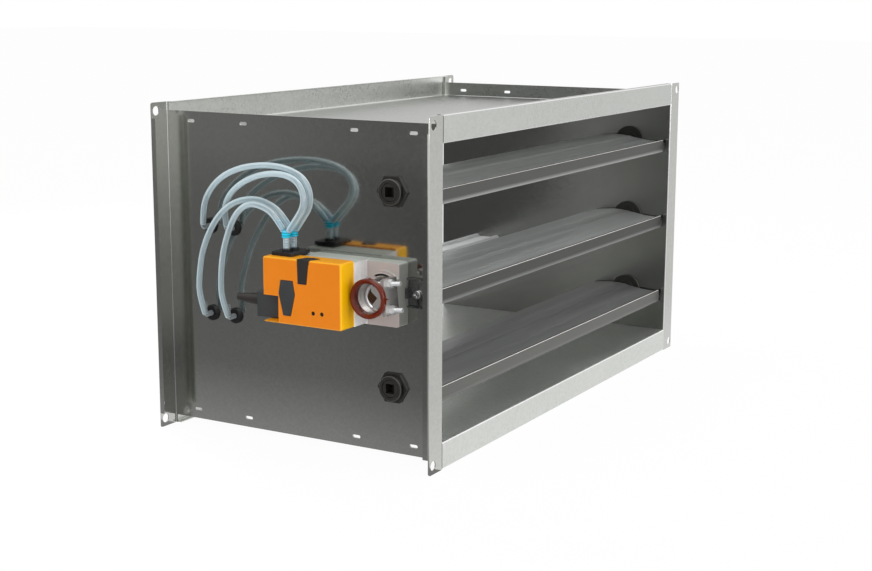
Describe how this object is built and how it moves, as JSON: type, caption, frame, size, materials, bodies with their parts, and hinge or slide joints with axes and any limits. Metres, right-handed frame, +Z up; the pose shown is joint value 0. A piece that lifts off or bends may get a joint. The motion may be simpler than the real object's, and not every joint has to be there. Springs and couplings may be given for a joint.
{
  "type": "variable air volume box",
  "caption": "Rectangular duct terminal with linked damper blades, averaging measuring bars, pressure hoses and a compact actuator.",
  "frame": {"origin": "centre of the outlet flange's face", "axes": "+X along the airflow and out of the outlet flange, +Y away from the actuator's side, +Z up"},
  "size_m": [0.342, 0.6924, 0.356],
  "materials": {
    "side_sheet": "satin hot-dip galvanised sheet",
    "panel_sheet": "hot-dip galvanised sheet",
    "blade_aluminium": "extruded, lengthwise grain",
    "seal_rubber": "extruded seal",
    "bearing_plastic": "moulded, fine texture",
    "zinc_steel": "zinc plated",
    "screw_steel": "zinc plated",
    "bar_aluminium": "extruded",
    "grommet_rubber": "moulded",
    "black_plastic": "moulded, fine texture",
    "clear_hose": "clear hose with a blue tint",
    "clear_plastic": "clear moulded elbow",
    "cyan_plastic": "translucent moulding",
    "grey_plastic": "moulded, light texture",
    "orange_plastic": "moulded, semi-gloss",
    "button_plastic": "moulded",
    "lens_plastic": "translucent",
    "board_laminate": "solder mask",
    "sensor_plastic": "moulded",
    "clamp_metal": "zinc plated",
    "bright_zinc": "bright zinc plated",
    "ring_plastic": "moulded"
  },
  "bodies": {
    "casing": {"near_side_wall": "side_sheet", "far_side_wall": "side_sheet", "top_panel": "panel_sheet", "bottom_panel": "panel_sheet", "near_bearing_flanges": "bearing_plastic", "near_bearing_nuts": "bearing_plastic", "far_bearing_flanges": "bearing_plastic", "far_bearing_nuts": "bearing_plastic", "torque_bracket": "zinc_steel", "measuring_bar_screws": "screw_steel", "torque_bracket_screw": "screw_steel", "upper_measuring_bar": "bar_aluminium", "lower_measuring_bar": "bar_aluminium", "tap_grommets": "grommet_rubber", "nozzle_block": "black_plastic", "cable_connector": "black_plastic", "strain_relief": "black_plastic", "tap_elbows": "clear_plastic", "rear_upper_hose": "clear_hose", "front_upper_hose": "clear_hose", "rear_lower_hose": "clear_hose", "front_lower_hose": "clear_hose", "hose_stubs": "clear_hose", "front_y_connector": "cyan_plastic", "rear_y_connector": "cyan_plastic", "actuator_housing": "grey_plastic", "actuator_cover": "orange_plastic", "status_lenses": "lens_plastic", "circuit_board": "board_laminate", "pressure_sensor": "sensor_plastic"},
    "middle_blade_unit": {"middle_blade": "blade_aluminium", "middle_blade_seal": "seal_rubber", "middle_blade_journals": "bearing_plastic", "middle_link_shaft": "zinc_steel", "middle_crank": "zinc_steel", "middle_crank_screw": "screw_steel", "drive_shaft": "zinc_steel", "clamp_hub": "clamp_metal", "clamp_jaw": "clamp_metal", "clamp_u_bolt": "bright_zinc", "clamp_nuts": "bright_zinc", "position_ring": "ring_plastic"},
    "top_blade_unit": {"top_blade": "blade_aluminium", "top_blade_seal": "seal_rubber", "top_blade_journals": "bearing_plastic", "top_link_shaft": "zinc_steel", "top_crank": "zinc_steel", "top_crank_screw": "screw_steel"},
    "bottom_blade_unit": {"bottom_blade": "blade_aluminium", "bottom_blade_seal": "seal_rubber", "bottom_blade_journals": "bearing_plastic", "bottom_link_shaft": "zinc_steel", "bottom_crank": "zinc_steel", "bottom_crank_screw": "screw_steel"},
    "tie_bar_unit": {"tie_bar": "zinc_steel", "link_pins": "screw_steel", "link_pin_clips": "screw_steel"},
    "gear_release": {"gear_release_button": "button_plastic"},
    "adaptation": {"adaptation_button": "button_plastic"}
  },
  "joints": [
    {"name": "blade_middle", "type": "hinge", "parent": "casing", "child": "middle_blade_unit", "pos_m": [-0.0566, 0, 0], "axis": [0, 1, 0], "range_deg": [0, 90]},
    {"name": "blade_top", "type": "hinge", "parent": "casing", "child": "top_blade_unit", "pos_m": [-0.0566, 0, 0.1], "axis": [0, 1, 0], "range_deg": [0, 90]},
    {"name": "blade_bottom", "type": "hinge", "parent": "casing", "child": "bottom_blade_unit", "pos_m": [-0.0566, 0, -0.1], "axis": [0, 1, 0], "range_deg": [0, 90]},
    {"name": "tie_bar_pivot", "type": "hinge", "parent": "middle_blade_unit", "child": "tie_bar_unit", "pos_m": [-0.07781, 0.315, -0.02121], "axis": [0, 1, 0], "range_deg": [-90, 0]},
    {"name": "gear_release_press", "type": "slide", "parent": "casing", "child": "gear_release", "axis": [0, 1, 0], "range_m": [0, 0.003], "stiffness_N_per_m": 600, "springref_m": -0.001},
    {"name": "adaptation_press", "type": "slide", "parent": "casing", "child": "adaptation", "axis": [0, 1, 0], "range_m": [0, 0.0015], "stiffness_N_per_m": 900, "springref_m": -0.0008}
  ],
  "couplings": [
    {"joint": "blade_top", "follows": "blade_middle", "ratio": 1},
    {"joint": "blade_bottom", "follows": "blade_middle", "ratio": 1},
    {"joint": "tie_bar_pivot", "follows": "blade_middle", "ratio": -1}
  ]
}
